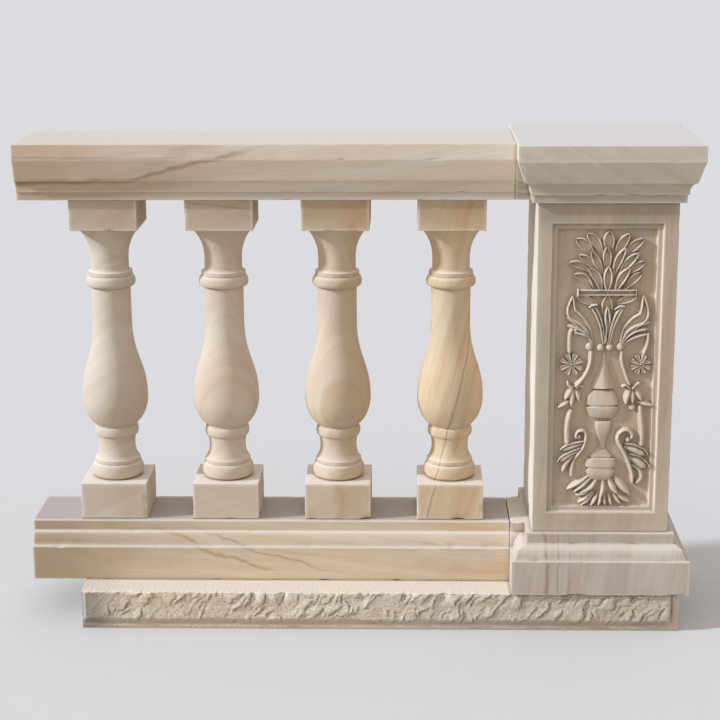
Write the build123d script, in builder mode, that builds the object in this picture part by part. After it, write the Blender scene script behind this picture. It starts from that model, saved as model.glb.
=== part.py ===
# One bay of a sandstone balustrade with the pier that ends it.
# Four turned balusters stand between a moulded bottom rail and a moulded top rail.
# The rails butt on a pier with a moulded base, a panelled shaft and a moulded cap.
# All of it rests on one rock-faced base course.
#
# Millimetres. X runs along the bay to the pier, Y from front to back, Z up.
# The origin is on the floor, at the middle of the whole length and depth.

import os

from build123d import *

# Bay
baluster_count = 4
baluster_pitch = 254.0
free_end_margin = 184.0  # free end of the rails to the first baluster's axis
pier_end_margin = 134.0  # last baluster's axis to the joint at the pier

# Base course, one long stone with a raised rock-faced band on each long face
course_height = 90.0
course_depth = 360.0
course_free_setback = 120.0  # from the free end of the bottom rail
course_pier_setback = 20.0  # from the outer face of the pier's plinth
band_projection = 12.0
band_bottom_margin = 20.0
band_end_margin = 16.0
band_slope = 40.0  # degrees that the band's edges are pitched back

# Bottom moulding, at the same levels on the bottom rail and on the pier's base
fascia_height = 78.0
ovolo_height = 31.0
fillet_height = 24.0
bottom_rail_fillet_depth = 174.0
bottom_rail_ovolo = 12.0
bottom_rail_ledge = 12.0
quarter_turn = 90.0  # degrees that the ovolo's curve spans

# Top moulding, with the same profile on the top rail and on the pier's cap
crown_fillet_height = 18.0
crown_step_height = 6.0
crown_cavetto_height = 20.0
crown_rake_height = 48.0
crown_fascia_height = 34.0
crown_step = 4.0  # narrow band between the fillet and the cavetto
crown_cavetto = 10.0
crown_quirk = 4.0  # flat step under the raking face
crown_rake = 15.0
top_rail_fillet_depth = 170.0

# Baluster: the square blocks, then the turned stretch from its foot up
baluster_height = 732.0  # between the rails
block_width = 150.0
lower_block_height = 84.0
upper_block_height = 70.0
torus_height = 35.0
torus_radius = 58.5
torus_bulge = 9.0
foot_fillet_height = 8.0
foot_fillet_radius = 52.0
scotia_height = 54.0
scotia_throat_radius = 40.5
scotia_top_radius = 44.5
astragal_height = 23.0
astragal_radius = 50.0
astragal_bulge = 4.5
bulb_foot_height = 3.0
bulb_foot_radius = 46.0
bowl_height = 63.0
belly_radius = 74.5
shoulder_turn = 0.45  # share of the shoulder at which its curve turns hollow
waist_height = 81.0
waist_radius = 44.0
collar_height = 26.0
collar_radius = 56.0
collar_bulge = 9.0
neck_fillet_height = 9.0
neck_fillet_radius = 49.5
neck_height = 28.0
neck_radius = 42.0
flare_height = 72.0
flare_radius = 72.0

# Pier
shaft_width = 300.0
cap_rise = 5.0  # how much higher the cap sits than the top rail
cap_fillet = 13.0  # how far the cap's lowest member stands proud of the shaft
base_fillet = 12.0
base_ovolo = 26.0

# Panel on the front and back of the shaft, sunk in two steps
panel_side_margin = 32.0
panel_end_margin = 46.0
panel_step_width = 12.0
panel_first_depth = 7.0
panel_second_depth = 8.0

# Levels that follow, counted up from the floor
footing_height = fascia_height + ovolo_height + fillet_height
seat_z = course_height + footing_height  # top of the bottom rail and of the pier's base
top_rail_z = seat_z + baluster_height
turned_z = seat_z + lower_block_height
turned_height = baluster_height - lower_block_height - upper_block_height
foot_height = torus_height + foot_fillet_height + scotia_height + astragal_height
head_height = collar_height + neck_fillet_height + neck_height + flare_height
bulb_height = turned_height - foot_height - head_height
shoulder_height = bulb_height - bulb_foot_height - bowl_height - waist_height
cap_z = top_rail_z + cap_rise
crown_step_top = crown_fillet_height + crown_step_height
crown_cavetto_top = crown_step_top + crown_cavetto_height
crown_rake_top = crown_cavetto_top + crown_rake_height
crown_height = crown_rake_top + crown_fascia_height

# Widths and places along the bay that follow
# The plinth is as wide as the cap, so both rails meet the pier at one joint
cap_fillet_width = shaft_width + 2 * cap_fillet
crown_projection = crown_step + crown_cavetto + crown_quirk + crown_rake
pier_width = cap_fillet_width + 2 * crown_projection
base_fillet_width = shaft_width + 2 * base_fillet
base_ledge = (pier_width - base_fillet_width) / 2 - base_ovolo
rail_length = free_end_margin + (baluster_count - 1) * baluster_pitch + pier_end_margin
free_end_x = -(rail_length + pier_width) / 2
joint_x = free_end_x + rail_length
pier_x = joint_x + pier_width / 2
stub_length = (pier_width - shaft_width) / 2  # rail profile carried on to the pier's shaft


# Section of a bottom moulding, upwards: fascia, ledge, ovolo and fillet
def footing_section(fillet_depth, ovolo, ledge):
    fillet_y = fillet_depth / 2
    ovolo_y = fillet_y + ovolo
    fascia_y = ovolo_y + ledge
    ovolo_top = fascia_height + ovolo_height
    with BuildSketch() as section:
        with BuildLine():
            Polyline((0, 0), (fascia_y, 0), (fascia_y, fascia_height), (ovolo_y, fascia_height))
            EllipticalCenterArc((fillet_y, fascia_height), ovolo, ovolo_height, arc_size=quarter_turn)
            Polyline((fillet_y, ovolo_top), (fillet_y, footing_height), (0, footing_height))
            mirror(about=Plane.YZ)
        make_face()
    return section.sketch


# Section of a top moulding, upwards: fillet, narrow band, cavetto, quirk, raking face and fascia
def crown_section(fillet_depth):
    fillet_y = fillet_depth / 2
    step_y = fillet_y + crown_step
    cavetto_y = step_y + crown_cavetto
    quirk_y = cavetto_y + crown_quirk
    fascia_y = quirk_y + crown_rake
    with BuildSketch() as section:
        with BuildLine():
            Polyline((0, 0), (fillet_y, 0), (fillet_y, crown_fillet_height))
            Polyline((fillet_y, crown_fillet_height), (step_y, crown_fillet_height), (step_y, crown_step_top))
            TangentArc((step_y, crown_step_top), (cavetto_y, crown_cavetto_top), tangent=(0, 1))
            Polyline((cavetto_y, crown_cavetto_top), (quirk_y, crown_cavetto_top))
            Polyline((quirk_y, crown_cavetto_top), (fascia_y, crown_rake_top), (fascia_y, crown_height))
            Line((fascia_y, crown_height), (0, crown_height))
            mirror(about=Plane.YZ)
        make_face()
    return section.sketch


# Round moulding on a turned piece, standing proud of its own edges by the bulge
def bead(radius, bulge, bottom, height):
    edge = radius - bulge
    return ThreePointArc((edge, bottom), (radius, bottom + height / 2), (edge, bottom + height))


# Half section of the turned stretch, standing on its foot with its axis at x = 0
def turned_section():
    foot_fillet_top = torus_height + foot_fillet_height
    scotia_top = foot_fillet_top + scotia_height
    bulb_foot_z = scotia_top + astragal_height
    bowl_z = bulb_foot_z + bulb_foot_height
    belly_z = bowl_z + bowl_height
    turn_z = belly_z + shoulder_turn * shoulder_height
    turn_radius = belly_radius + shoulder_turn * (waist_radius - belly_radius)
    waist_z = belly_z + shoulder_height
    collar_z = waist_z + waist_height
    neck_fillet_z = collar_z + collar_height
    neck_z = neck_fillet_z + neck_fillet_height
    neck_hollow = neck_fillet_radius - neck_radius
    flare_z = neck_z + neck_height
    with BuildSketch() as section:
        with BuildLine():
            torus = bead(torus_radius, torus_bulge, 0, torus_height)
            foot_fillet = Polyline(
                torus @ 1, (foot_fillet_radius, torus_height), (foot_fillet_radius, foot_fillet_top)
            )
            scotia_throat = (scotia_throat_radius, (foot_fillet_top + scotia_top) / 2)
            scotia = ThreePointArc(foot_fillet @ 1, scotia_throat, (scotia_top_radius, scotia_top))
            astragal = bead(astragal_radius, astragal_bulge, scotia_top, astragal_height)
            Line(scotia @ 1, astragal @ 0)
            bulb_foot = Polyline(astragal @ 1, (bulb_foot_radius, bulb_foot_z), (bulb_foot_radius, bowl_z))
            TangentArc((belly_radius, belly_z), bulb_foot @ 1, tangent=(0, -1))
            belly = TangentArc((belly_radius, belly_z), (turn_radius, turn_z), tangent=(0, 1))
            shoulder = TangentArc(belly @ 1, (waist_radius, waist_z), tangent=belly % 1)
            collar = bead(collar_radius, collar_bulge, collar_z, collar_height)
            Polyline(shoulder @ 1, (waist_radius, collar_z), collar @ 0)
            neck_fillet = Polyline(
                collar @ 1, (neck_fillet_radius, neck_fillet_z), (neck_fillet_radius, neck_z)
            )
            TangentArc((neck_radius, neck_z + neck_hollow), neck_fillet @ 1, tangent=(0, -1))
            neck = Line((neck_radius, neck_z + neck_hollow), (neck_radius, flare_z))
            flare = TangentArc(neck @ 1, (flare_radius, turned_height), tangent=(0, 1))
            Polyline(flare @ 1, (0, turned_height), (0, 0), torus @ 0)
        make_face()
    return section.sketch


# Plane that faces the front, standing at a place along the bay and a height
def front_plane(x, z):
    return Plane((x, 0, z), x_dir=(1, 0, 0), z_dir=(0, -1, 0))


# The same, facing the back
def back_plane(x, z):
    return Plane((x, 0, z), x_dir=(-1, 0, 0), z_dir=(0, 1, 0))


# Plane that faces the pier's end, for sections drawn across the bay
def end_plane(x, z):
    return Plane((x, 0, z), x_dir=(0, 1, 0), z_dir=(1, 0, 0))


os.makedirs("parts", exist_ok=True)

# Base course
course_length = rail_length + pier_width - course_free_setback - course_pier_setback
course_x = free_end_x + course_free_setback + course_length / 2
band_length = course_length - 2 * band_end_margin
band_height = course_height - band_bottom_margin
with BuildPart() as base_course:
    with Locations((course_x, 0, course_height / 2)):
        Box(course_length, course_depth, course_height)
    with BuildSketch(front_plane(course_x, band_bottom_margin + band_height / 2).offset(course_depth / 2)):
        Rectangle(band_length, band_height)
    extrude(amount=band_projection, taper=band_slope)
    mirror(about=Plane.XZ)
base_course.part.label = "base_course"
export_step(base_course.part, "parts/base_course.step")

# Bottom rail
with BuildPart() as bottom_rail:
    with BuildSketch(end_plane(free_end_x, course_height)):
        add(footing_section(bottom_rail_fillet_depth, bottom_rail_ovolo, bottom_rail_ledge))
    extrude(amount=rail_length)
bottom_rail.part.label = "bottom_rail"
export_step(bottom_rail.part, "parts/bottom_rail.step")

# Balusters, each one stone that keeps a square block at both ends of the turning
half_baluster = turned_section()
for number in range(1, baluster_count + 1):
    baluster_x = free_end_x + free_end_margin + (number - 1) * baluster_pitch
    with BuildPart() as baluster:
        with BuildSketch(front_plane(baluster_x, turned_z)):
            add(half_baluster)
        revolve(axis=Axis((baluster_x, 0, 0), (0, 0, 1)))
        with Locations((baluster_x, 0, seat_z)):
            Box(block_width, block_width, lower_block_height, align=(Align.CENTER, Align.CENTER, Align.MIN))
        with Locations((baluster_x, 0, top_rail_z)):
            Box(block_width, block_width, upper_block_height, align=(Align.CENTER, Align.CENTER, Align.MAX))
    baluster.part.label = f"baluster_{number}"
    export_step(baluster.part, f"parts/baluster_{number}.step")

# Top rail
with BuildPart() as top_rail:
    with BuildSketch(end_plane(free_end_x, top_rail_z)):
        add(crown_section(top_rail_fillet_depth))
    extrude(amount=rail_length)
top_rail.part.label = "top_rail"
export_step(top_rail.part, "parts/top_rail.step")

# Pier base: the moulding mitred round the square, and a stub that meets the bottom rail
with BuildPart() as pier_base:
    with BuildSketch(front_plane(pier_x, course_height)):
        add(footing_section(base_fillet_width, base_ovolo, base_ledge))
    extrude(amount=pier_width / 2, both=True)
    with BuildSketch(end_plane(pier_x, course_height)):
        add(footing_section(base_fillet_width, base_ovolo, base_ledge))
    extrude(amount=pier_width / 2, both=True, mode=Mode.INTERSECT)
    with BuildSketch(end_plane(joint_x, course_height)):
        add(footing_section(bottom_rail_fillet_depth, bottom_rail_ovolo, bottom_rail_ledge))
    extrude(amount=stub_length)
pier_base.part.label = "pier_base"
export_step(pier_base.part, "parts/pier_base.step")

# Pier shaft, with the sunk panel on its front and back
shaft_height = cap_z - seat_z
shaft_middle = seat_z + shaft_height / 2
panel_width = shaft_width - 2 * panel_side_margin
panel_height = shaft_height - 2 * panel_end_margin
with BuildPart() as pier_shaft:
    with Locations((pier_x, 0, shaft_middle)):
        Box(shaft_width, shaft_width, shaft_height)
    for shaft_plane in (front_plane(pier_x, shaft_middle), back_plane(pier_x, shaft_middle)):
        with BuildSketch(shaft_plane.offset(shaft_width / 2)):
            Rectangle(panel_width, panel_height)
        extrude(amount=-panel_first_depth, mode=Mode.SUBTRACT)
        with BuildSketch(shaft_plane.offset(shaft_width / 2 - panel_first_depth)):
            Rectangle(panel_width - 2 * panel_step_width, panel_height - 2 * panel_step_width)
        extrude(amount=-panel_second_depth, mode=Mode.SUBTRACT)
pier_shaft.part.label = "pier_shaft"
export_step(pier_shaft.part, "parts/pier_shaft.step")

# Pier cap: the moulding mitred round the square, and a stub that meets the top rail
with BuildPart() as pier_cap:
    with BuildSketch(front_plane(pier_x, cap_z)):
        add(crown_section(cap_fillet_width))
    extrude(amount=pier_width / 2, both=True)
    with BuildSketch(end_plane(pier_x, cap_z)):
        add(crown_section(cap_fillet_width))
    extrude(amount=pier_width / 2, both=True, mode=Mode.INTERSECT)
    with BuildSketch(end_plane(joint_x, top_rail_z)):
        add(crown_section(top_rail_fillet_depth))
    extrude(amount=stub_length)
pier_cap.part.label = "pier_cap"
export_step(pier_cap.part, "parts/pier_cap.step")
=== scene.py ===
import bpy
import bmesh
import math
from collections import namedtuple
from mathutils import Matrix, Vector, noise
from mathutils.geometry import interpolate_bezier


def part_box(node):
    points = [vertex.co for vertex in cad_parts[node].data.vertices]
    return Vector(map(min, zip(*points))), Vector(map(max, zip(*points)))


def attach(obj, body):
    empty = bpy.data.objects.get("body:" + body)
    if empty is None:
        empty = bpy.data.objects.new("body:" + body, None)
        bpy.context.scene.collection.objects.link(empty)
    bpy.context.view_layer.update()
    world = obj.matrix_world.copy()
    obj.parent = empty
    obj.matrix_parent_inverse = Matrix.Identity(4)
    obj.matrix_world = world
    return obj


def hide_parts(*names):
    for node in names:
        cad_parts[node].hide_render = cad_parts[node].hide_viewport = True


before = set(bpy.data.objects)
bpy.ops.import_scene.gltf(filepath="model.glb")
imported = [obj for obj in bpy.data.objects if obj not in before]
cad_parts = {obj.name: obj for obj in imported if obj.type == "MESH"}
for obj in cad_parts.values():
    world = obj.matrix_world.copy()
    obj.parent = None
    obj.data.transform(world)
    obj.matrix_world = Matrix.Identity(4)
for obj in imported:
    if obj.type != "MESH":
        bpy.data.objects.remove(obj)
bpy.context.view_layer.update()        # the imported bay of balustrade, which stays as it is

# One bay of a cream sandstone balustrade with its carved pier, dressed stone by stone.
# Sizes in the dictionaries are millimetres. The bay runs along X, the front looks at -Y.

mm = 0.001
weld = 0.01 * mm        # points nearer than this are one


# helpers

def toLinear(hexColour):        # sRGB hex to the linear colour that the shader wants
    shares = [int(hexColour[place:place + 2], 16) / 255 for place in (1, 3, 5)]
    return tuple(s / 12.92 if s <= 0.04045 else ((s + 0.055) / 1.055) ** 2.4 for s in shares) + (1.0,)


def scaleOf(size):      # texture scale for patches of this many millimetres
    return 1000 / size


# Inputs are a list in the sockets' order, or go by name or number, and a node stands for its first output.
# A map range takes a value, the two ends that it is read between and the two that it is given between. A
# colour mix has its share at 0, its colours at 6 and 7 and its result at 2.
def addNode(tree, kind, inputs=(), **settings):
    node = tree.nodes.new("ShaderNode" + kind)
    for name, value in settings.items():
        setattr(node, name, value)
    for socket, value in inputs.items() if isinstance(inputs, dict) else enumerate(inputs):
        if isinstance(value, bpy.types.Node):
            value = value.outputs[0]
        if isinstance(value, bpy.types.NodeSocket):
            tree.links.new(value, node.inputs[socket])
        else:
            node.inputs[socket].default_value = value
    return node


def addObject(name, data):
    added = bpy.data.objects.new(name, data)
    bpy.context.scene.collection.objects.link(added)
    return added


def newStone():     # a mesh with a mark for the worn corners, which also carry a painted highlight
    bm = bmesh.new()
    bm.verts.layers.float.new("arris")
    return bm


def newBlock(low, high):        # a squared stone between two corners
    block = newStone()
    bmesh.ops.create_cube(block, size=1.0)
    bmesh.ops.scale(block, verts=block.verts, vec=high - low)
    bmesh.ops.translate(block, verts=block.verts, vec=(low + high) / 2)
    return block


def spinLine(bm, points, axis, steps):      # turns a line round an upright axis
    points = [bm.verts.new(point) for point in points]
    line = [bm.edges.new(pair) for pair in zip(points, points[1:])]
    bmesh.ops.spin(bm, geom=points + line, cent=(axis, 0, 0), axis=(0, 0, 1), angle=math.tau, steps=steps,
                   use_merge=True)
    bmesh.ops.remove_doubles(bm, verts=bm.verts, dist=weld)


def extrudeFaces(bm, faces):        # gives the points to move
    drawn = bmesh.ops.extrude_face_region(bm, geom=faces)
    return [item for item in drawn["geom"] if isinstance(item, bmesh.types.BMVert)]


def fullEdges(bm, axis, length):        # the edges that run from end to end
    return [edge for edge in bm.edges
            if abs((edge.verts[0].co - edge.verts[1].co)[axis]) > length * 0.99]


def finishPiece(bm, name, material, nodes=(), crease=40):
    bmesh.ops.remove_doubles(bm, verts=bm.verts, dist=weld)
    bmesh.ops.recalc_face_normals(bm, faces=bm.faces)
    mesh = bpy.data.meshes.new(name)
    bm.to_mesh(mesh)
    bm.free()
    mesh.shade_smooth()
    mesh.set_sharp_from_angle(angle=math.radians(crease))
    mesh.materials.append(material)
    piece = addObject(name, mesh)
    flat = piece.modifiers.new("flatFaces", "WEIGHTED_NORMAL")      # broad faces stay flat beside the corners
    flat.keep_sharp = True
    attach(piece, "root")
    if nodes:
        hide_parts(*nodes)
    triangles = sum(len(face.vertices) - 2 for face in mesh.polygons)
    print(f"{name}: {triangles} triangles")
    return piece


def easeCorners(bm, edges, width):      # takes the sharpness off and marks what a knock can reach
    arris = bm.verts.layers.float["arris"]
    eased = bmesh.ops.bevel(bm, geom=edges, offset=width * mm, offset_type="OFFSET", segments=2, profile=0.5,
                            affect="EDGES", material=-1, clamp_overlap=True)
    for vert in eased["verts"]:
        vert[arris] = 1.0


def sharpEdges(bm, degrees=28):
    bm.normal_update()
    return [edge for edge in bm.edges
            if len(edge.link_faces) == 2 and edge.calc_face_angle(0) > math.radians(degrees)]


def wearStone(bm, wear, seed):      # rubs faces and chips corners; stone only goes inwards
    arris = bm.verts.layers.float["arris"]
    bm.normal_update()
    shift = Vector((seed * 3.7, seed * 1.3, 0.0))
    moves = []
    for vert in bm.verts:
        place = vert.co + shift
        depth = wear["hollow"] * (0.5 + 0.5 * noise.noise(place / (wear["hollowSize"] * mm)))
        if vert[arris] > 0.5:
            knock = noise.noise(place / (wear["chipSize"] * mm)) - wear["chipShare"]
            depth += wear["chipDepth"] * max(0.0, knock)
            depth += wear["ragged"] * abs(noise.noise(place / (wear["chipSize"] * 0.22 * mm)))
        moves.append((vert, vert.normal * -depth * mm))
    for vert, move in moves:
        vert.co += move


def cutAcross(bm, axis, place):     # one plane right through the stone
    point, normal = Vector(), Vector()
    point[axis], normal[axis] = place, 1
    bmesh.ops.bisect_plane(bm, geom=bm.verts[:] + bm.edges[:] + bm.faces[:], plane_co=point,
                           plane_no=normal, dist=0.001 * mm)


def gridCuts(bm, axis, start, end, spacing):    # evenly spaced cuts across the stone
    count = max(1, round((end - start) / (spacing * mm)))
    for step in range(1, count):
        cutAcross(bm, axis, start + (end - start) * step / count)


def pourInto(bm, other):    # adds one stone mesh to another
    carrier = bpy.data.meshes.new("carrier")
    other.to_mesh(carrier)
    other.free()
    bm.from_mesh(carrier)
    bpy.data.meshes.remove(carrier)


# A profile is a list of places. A curved stretch has two more after its end: how far the curve is pulled
# out of the last place, and how far into this one.
def curvedLine(profile, steps):
    line = []
    for end, *pulls in profile:
        end = Vector(end)
        if pulls:
            begin = line[-1]
            pullOut, pullIn = (Vector(pull) for pull in pulls)
            line += interpolate_bezier(begin, begin + pullOut, end + pullIn, end, steps)[1:]
        else:
            line.append(end)
    return line


# stone

# A sheet through the stone. Most are veins; some are painted shade and some painted highlight. Each gives
# which way lies across it, where it is, how far it wanders, half its width, its strength and colour, then
# where it runs out (axis, full here, gone there) and whether it is open.
veinAndPaintedLight = namedtuple("veinAndPaintedLight", "across at wander width strength colour fades opened", defaults=((), False))


# Fine cream sandstone, laid down in bands of iron-stained sand, rubbed smooth with grit.
# To the eye it is matt and dry, with wood-like veins, a fine sandy grain and paler, dusty tops. Part of the
# paleness of tops, edges and carved crests is painted highlight, and corners and hollows are drawn darker as
# painted shade.
def makeSandstone(name, look):
    material = bpy.data.materials.new(name)
    material.use_nodes = True
    tree = material.node_tree
    tree.nodes.clear()
    coords = addNode(tree, "TexCoord").outputs["Object"]
    places = addNode(tree, "SeparateXYZ", [coords]).outputs
    depthIn = addNode(tree, "Math", [places["Y"]], operation="ABSOLUTE")

    # beds bend slowly, over about 200 mm
    bend = addNode(tree, "TexNoise", {
        "Vector": coords, "Scale": scaleOf(look["bendSize"]), "Detail": 2}).outputs["Color"]
    bend = addNode(tree, "VectorMath", [bend, (0.5, 0.5, 0.5)], operation="SUBTRACT")
    bend = addNode(tree, "VectorMath", {0: bend, "Scale": look["bendAmount"] * mm}, operation="SCALE")
    bent = addNode(tree, "VectorMath", [coords, bend], operation="ADD")
    tilt = [math.radians(angle) for angle in look["bedTilt"]]
    turned = addNode(tree, "Mapping", {"Vector": bent, "Rotation": tilt})

    # broad beds, the thin grain lines inside them, and cloudy patches about a hand wide
    noises = []
    for long, thin, detail, roughness in ((look["bedLength"], look["bedWidth"], 3, 0.55),
                                          (look["bedLength"] * 0.4, look["grainLine"], 2, 0.6)):
        stretch = (scaleOf(long), scaleOf(long), scaleOf(thin))
        flat = addNode(tree, "VectorMath", [turned, stretch], operation="MULTIPLY")
        flat = addNode(tree, "TexNoise", {
            "Vector": flat, "Scale": 1, "Detail": detail, "Roughness": roughness})
        noises.append(flat)
    beds, lines = noises
    tone = addNode(tree, "ValToRGB", {"Fac": beds})
    stops = tone.color_ramp.elements
    stops[0].position, stops[0].color = 0.28, toLinear(look["pale"])
    stops[1].position, stops[1].color = 0.76, toLinear(look["warm"])
    stops.new(0.5).color = toLinear(look["base"])
    lineMask = addNode(tree, "MapRange", [lines, 0.5, 0.75, 0, look["lineStrength"]])
    cloud = addNode(tree, "TexNoise", {
        "Vector": bent, "Scale": scaleOf(look["cloudSize"]), "Detail": 3})
    cloudMask = addNode(tree, "MapRange", [cloud, 0.42, 0.7, 0, look["cloudStrength"]])
    layers = [(lineMask, look["iron"]), (cloudMask, look["cloud"])]

    # single veins go round corners as real ones do, and so do the sheets of painted shade and highlight
    wobble = addNode(tree, "TexNoise", {"Vector": coords, "Scale": scaleOf(look["wanderSize"]), "Detail": 3})
    cracks = None
    for sheet in look.get("veinsAndPaintedLight", ()):
        along = addNode(tree, "VectorMath", [coords, Vector(sheet.across).normalized()],
                        operation="DOT_PRODUCT").outputs["Value"]
        swing = addNode(tree, "MapRange", [
            wobble, 0.3, 0.7, (sheet.at - sheet.wander) * mm, (sheet.at + sheet.wander) * mm])
        off = addNode(tree, "Math", [along, swing], operation="SUBTRACT")
        off = addNode(tree, "Math", [off], operation="ABSOLUTE")
        mask = addNode(tree, "MapRange", [off, 0, sheet.width * mm, sheet.strength, 0],
                       interpolation_type="SMOOTHSTEP")     # fades softly to both sides
        for axis, full, gone in sheet.fades:
            fade = addNode(tree, "MapRange", [places[axis], full * mm, gone * mm, 1, 0])
            mask = addNode(tree, "Math", [mask, fade], operation="MULTIPLY")
        layers.append((mask, sheet.colour))
        if sheet.opened:    # an open hairline also dents the surface
            cracks = mask

    # iron specks and pinholes, 10 to 15 mm apart
    specks = addNode(tree, "TexVoronoi", {"Vector": coords, "Scale": scaleOf(look["speckSpacing"])})
    speckMask = addNode(tree, "MapRange", [specks, 0.05, 0.11, look["speckStrength"], 0])
    speckAreas = addNode(tree, "MapRange", [cloud, 0.5, 0.6, 0, 1])
    speckMask = addNode(tree, "Math", [speckMask, speckAreas], operation="MULTIPLY")
    layers.append((speckMask, look["iron"]))
    colour = tone
    for share, shade in layers:
        colour = addNode(tree, "Mix", {0: share, 6: colour, 7: toLinear(shade)}, data_type="RGBA").outputs[2]

    # clusters of sand grains: single ones of 0.3 mm are too fine to show
    grain = addNode(tree, "TexNoise", {
        "Vector": coords, "Scale": scaleOf(look["grainSize"]), "Detail": 2})
    grainTone = addNode(tree, "MapRange", [grain, 0.25, 0.75, 1 - look["grainTone"], 1 + look["grainTone"]])
    colour = addNode(tree, "VectorMath", {0: colour, "Scale": grainTone}, operation="SCALE")

    # dust bleaches whatever faces up; the same mix is also painted light, drawing the tops paler as lit
    facing = addNode(tree, "NewGeometry").outputs["Normal"]
    facing = addNode(tree, "SeparateXYZ", [facing]).outputs["Z"]
    dustAndTopLight = addNode(tree, "MapRange", [facing, 0.35, 0.95, 0, look["dustAndTopLight"]])
    layers = [(dustAndTopLight, look["dustAndTopLightColour"])]

    # corners rubbed pale by hands and weather, drawn paler still as a painted highlight, and painted shade in
    # the hollows of a broken face
    for mark, markColour in (("arris", "arrisColour"), ("hollowShade", "cornerShadeColour")):
        if mark in look:
            marked = addNode(tree, "Attribute", attribute_name=mark).outputs["Fac"]
            marked = addNode(tree, "Math", [marked, look[mark]], operation="MULTIPLY")
            layers.append((marked, look[markColour]))

    # painted shade: quirks and corners are drawn darker, the more closed in they are
    openness = addNode(tree, "AmbientOcclusion", {"Distance": look["cornerShadeReach"] * mm}, samples=6)
    cornerShade = addNode(tree, "MapRange", [openness.outputs["AO"], 0.35, 0.85, look["cornerShade"], 0])
    layers.append((cornerShade, look["cornerShadeColour"]))

    # painted shade of the balusters: the level top between them is drawn grey, with a soft and cloudy edge
    if "railTopShade" in look:
        railTopShade = look["railTopShade"]
        level = addNode(tree, "MapRange", [
            places["Z"], (railTopShade["level"] - 2.5) * mm, (railTopShade["level"] - 0.9) * mm])
        reach = addNode(tree, "Math", [cloud, railTopShade["cloudy"] * mm, depthIn], operation="MULTIPLY_ADD")
        middle = addNode(tree, "MapRange", [
            reach, railTopShade["reach"] * mm, (railTopShade["reach"] + 9) * mm, railTopShade["amount"], 0])
        railTopShadeShare = addNode(tree, "Math", [level, middle], operation="MULTIPLY")
        layers.append((railTopShadeShare, railTopShade["colour"]))

    # painted highlight: the crests of the carving are drawn paler, as if lit
    if "crest" in look:
        crest = look["crest"]
        risen = addNode(tree, "MapRange", [depthIn, crest["from"] * mm, crest["to"] * mm, 0, crest["amount"]])
        layers.append((risen, crest["colour"]))
    for share, shade in layers:
        colour = addNode(tree, "Mix", {0: share, 6: colour, 7: toLinear(shade)}, data_type="RGBA").outputs[2]

    # relief of the rubbed surface: slow unevenness, then grain lines, sand, pinholes and open cracks
    uneven = addNode(tree, "TexNoise", {
        "Vector": coords, "Scale": scaleOf(look["unevenSize"]), "Detail": 4, "Roughness": 0.6})
    height = addNode(tree, "Math", [uneven, look["uneven"]], operation="MULTIPLY")
    reliefs = [(lines, look["lineRelief"]), (grain, look["grainRelief"]), (speckMask, -0.8)]
    if cracks is not None:
        reliefs.append((cracks, -1))
    for share, rise in reliefs:
        height = addNode(tree, "Math", [share, rise, height], operation="MULTIPLY_ADD")
    bump = addNode(tree, "Bump", {"Height": height, "Strength": 0.6, "Distance": 0.8 * mm})
    rough = addNode(tree, "MapRange", {0: uneven, 3: 0.76, 4: 0.92})
    shader = addNode(tree, "BsdfPrincipled", {
        "Base Color": colour, "Roughness": rough, "Normal": bump, "IOR": 1.5, "Specular IOR Level": 0.3})
    addNode(tree, "OutputMaterial", {"Surface": shader})
    return material


sandstone = {       # sizes in millimetres, strengths as shares
    "base": "#d3bfa7", "pale": "#dacab5", "warm": "#ccb296", "iron": "#a3825d", "cloud": "#c8b8a5",
    "bendSize": 260, "bendAmount": 40, "bedTilt": (8, 6, 0), "bedLength": 420, "bedWidth": 26,
    "grainLine": 4, "lineStrength": 0.2, "cloudSize": 120, "cloudStrength": 0.4,
    "wanderSize": 90, "speckSpacing": 13, "speckStrength": 0.35, "grainSize": 1.6, "grainTone": 0.05,
    # the dust and arris shares draw tops and edges paler, partly as painted highlight; the dirt share is
    # painted shade in corners
    "dustAndTopLight": 0.75, "dustAndTopLightColour": "#dfd7cc", "arris": 0.5, "arrisColour": "#efe5d5",
    "cornerShade": 0.5, "cornerShadeReach": 16, "cornerShadeColour": "#8c7a62",
    "uneven": 0.5, "unevenSize": 14, "lineRelief": 0.25, "grainRelief": 0.35,
}
rubbedWear = {      # slow hollows on the faces, then chips and a ragged edge along the corners
    "hollow": 0.6, "hollowSize": 70, "chipSize": 26, "chipShare": 0.26, "chipDepth": 8.0, "ragged": 0.7,
}


# camera

cameraForm = {
    "place": (114.3, -3873.4, 1560.1), "pitch": 14.46, "turn": -1.60, "roll": -0.31,
    "lens": 88.44, "rise": 0.0097,
}
pitch, turn, roll = (math.radians(cameraForm[key]) for key in ("pitch", "turn", "roll"))
ahead = Vector((math.sin(turn) * math.cos(pitch), math.cos(turn) * math.cos(pitch), -math.sin(pitch)))
side = ahead.cross(Vector((0, 0, 1))).normalized()
above = side.cross(ahead)
across = side * math.cos(roll) + above * math.sin(roll)
upward = above * math.cos(roll) - side * math.sin(roll)
cameraData = bpy.data.cameras.new("photoCamera")
cameraData.lens = cameraForm["lens"]
cameraData.shift_y = cameraForm["rise"]
camera = addObject("photoCamera", cameraData)
aim = Matrix((across, upward, -ahead)).transposed().to_4x4()
camera.matrix_world = Matrix.Translation(Vector(cameraForm["place"]) * mm) @ aim
bpy.context.scene.camera = camera
print("camera placed")


# base course: one long stone with rock-faced sides

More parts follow.
